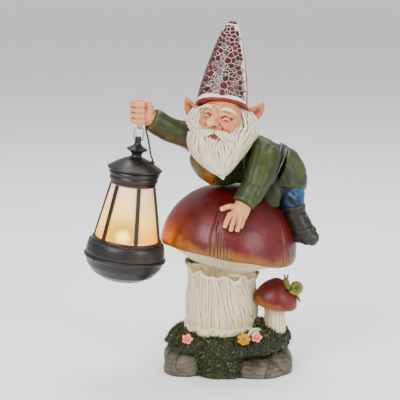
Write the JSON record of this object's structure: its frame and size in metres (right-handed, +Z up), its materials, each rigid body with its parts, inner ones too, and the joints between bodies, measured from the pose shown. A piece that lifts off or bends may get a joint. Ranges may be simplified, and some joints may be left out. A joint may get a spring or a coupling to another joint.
{
  "type": "garden gnome lantern ornament",
  "caption": "Garden ornament: a gnome lies on a big mushroom and holds out a hanging solar lantern; a small mushroom, snail and flowers sit on the rocky base.",
  "frame": {"origin": "centre of the flat underside that the ornament stands on", "axes": "+Z up, +X towards the gnome's boots (right in the front view), -Y towards the viewer that the face looks at"},
  "size_m": [0.2559, 0.1567, 0.3853],
  "materials": {
    "ground_rock": "painted resin casting, satin",
    "ground_turf": "painted resin casting, satin",
    "mushroom_stem": "painted resin casting, satin",
    "stem_collar": "painted resin casting, satin",
    "mushroom_gills": "painted resin casting, satin",
    "mushroom_cap": "painted resin casting, soft gloss",
    "small_stem": "painted resin casting, satin",
    "small_cap": "painted resin casting, soft gloss",
    "snail_body": "painted resin casting, satin",
    "snail_shell": "painted resin casting, soft gloss",
    "flower_pink_left": "painted resin casting, satin",
    "flower_pink_right": "painted resin casting, satin",
    "flower_yellow": "painted resin casting, satin",
    "leaf": "painted resin casting, satin",
    "coat_chest": "painted resin casting, satin",
    "coat_skirt": "painted resin casting, satin",
    "raised_sleeve": "painted resin casting, satin",
    "resting_sleeve": "painted resin casting, satin",
    "waistcoat": "painted resin casting, satin",
    "button": "painted resin casting, soft gloss",
    "belt": "painted resin casting, soft gloss",
    "trouser_near": "painted resin casting, satin",
    "trouser_far": "painted resin casting, satin",
    "boot_near": "painted resin casting, soft gloss",
    "boot_far": "painted resin casting, soft gloss",
    "head": "painted resin casting, soft gloss",
    "ear_left": "painted resin casting, satin",
    "ear_right": "painted resin casting, satin",
    "raised_hand": "painted resin casting, soft gloss",
    "resting_hand": "painted resin casting, soft gloss",
    "hair": "painted resin casting, satin",
    "beard": "painted resin casting, satin",
    "hat_shell": "painted resin casting, soft gloss",
    "hat_brim": "painted resin casting, soft gloss",
    "hat_mosaic": "crackle mosaic panel, glossy tiles in pale grout",
    "hand_eye": "steel wire or screw",
    "bail": "steel wire or screw",
    "lantern_finial": "dark bronze-black satin moulding",
    "lantern_roof": "dark bronze-black satin moulding",
    "lantern_collar": "dark bronze-black satin moulding",
    "lantern_cage": "dark bronze-black satin moulding",
    "lantern_band": "dark bronze-black satin moulding",
    "lantern_bowl": "dark bronze-black satin moulding",
    "lantern_floor": "white plastic",
    "lantern_shade": "frosted translucent plastic, glows warm",
    "lantern_led": "warm white light emitting diode",
    "bowl_screw_a": "steel wire or screw",
    "bowl_screw_b": "steel wire or screw",
    "bowl_screw_c": "steel wire or screw",
    "roof_grommet": "black rubber",
    "lead_upper": "black flexible sheath",
    "lead_lower": "black flexible sheath",
    "solar_tray": "black plastic",
    "solar_panel": "epoxy coated solar cell",
    "battery_box": "black plastic",
    "battery_door": "black plastic",
    "door_screw": "steel wire or screw",
    "switch_slider": "black plastic",
    "battery_cell": "sleeved rechargeable cell, no lettering",
    "contact_spring": "steel wire or screw"
  },
  "bodies": {
    "statue": {"ground_rock": "ground_rock", "ground_turf": "ground_turf", "mushroom_stem": "mushroom_stem", "stem_collar": "stem_collar", "mushroom_gills": "mushroom_gills", "mushroom_cap": "mushroom_cap", "small_stem": "small_stem", "small_cap": "small_cap", "snail_body": "snail_body", "snail_shell": "snail_shell", "flower_pink_left": "flower_pink_left", "flower_pink_right": "flower_pink_right", "flower_yellow": "flower_yellow", "leaf": "leaf", "coat_chest": "coat_chest", "coat_skirt": "coat_skirt", "raised_sleeve": "raised_sleeve", "resting_sleeve": "resting_sleeve", "waistcoat": "waistcoat", "button": "button", "belt": "belt", "trouser_near": "trouser_near", "trouser_far": "trouser_far", "boot_near": "boot_near", "boot_far": "boot_far", "head": "head", "ear_left": "ear_left", "ear_right": "ear_right", "raised_hand": "raised_hand", "resting_hand": "resting_hand", "hair": "hair", "beard": "beard", "hat_shell": "hat_shell", "hat_brim": "hat_brim", "hat_mosaic": "hat_mosaic", "hand_eye": "hand_eye", "lead_upper": "lead_upper", "solar_tray": "solar_tray", "solar_panel": "solar_panel", "battery_box": "battery_box", "battery_cell": "battery_cell", "contact_spring": "contact_spring"},
    "battery_door": {"battery_door": "battery_door", "door_screw": "door_screw"},
    "switch": {"switch_slider": "switch_slider"},
    "bail": {"bail": "bail"},
    "lantern": {"lantern_finial": "lantern_finial", "lantern_roof": "lantern_roof", "lantern_collar": "lantern_collar", "lantern_cage": "lantern_cage", "lantern_shade": "lantern_shade", "lantern_band": "lantern_band", "lantern_floor": "lantern_floor", "lantern_bowl": "lantern_bowl", "lantern_led": "lantern_led", "bowl_screw_a": "bowl_screw_a", "bowl_screw_b": "bowl_screw_b", "bowl_screw_c": "bowl_screw_c", "roof_grommet": "roof_grommet", "lead_lower": "lead_lower"}
  },
  "joints": [
    {"name": "bail_swing", "type": "hinge", "parent": "statue", "child": "bail", "pos_m": [-0.0956, -0.0345, 0.2741], "axis": [0, 1, 0], "range_deg": [0, 20]},
    {"name": "lantern_swing", "type": "hinge", "parent": "bail", "child": "lantern", "pos_m": [-0.09717, -0.0345, 0.2613], "axis": [0.9925, 0, -0.1219], "range_deg": [-15, 0]},
    {"name": "door_off", "type": "slide", "parent": "statue", "child": "battery_door", "axis": [0, 1, 0], "range_m": [0, 0.04]},
    {"name": "switch_slide", "type": "slide", "parent": "statue", "child": "switch", "axis": [1, 0, 0], "range_m": [0, 0.003]}
  ]
}
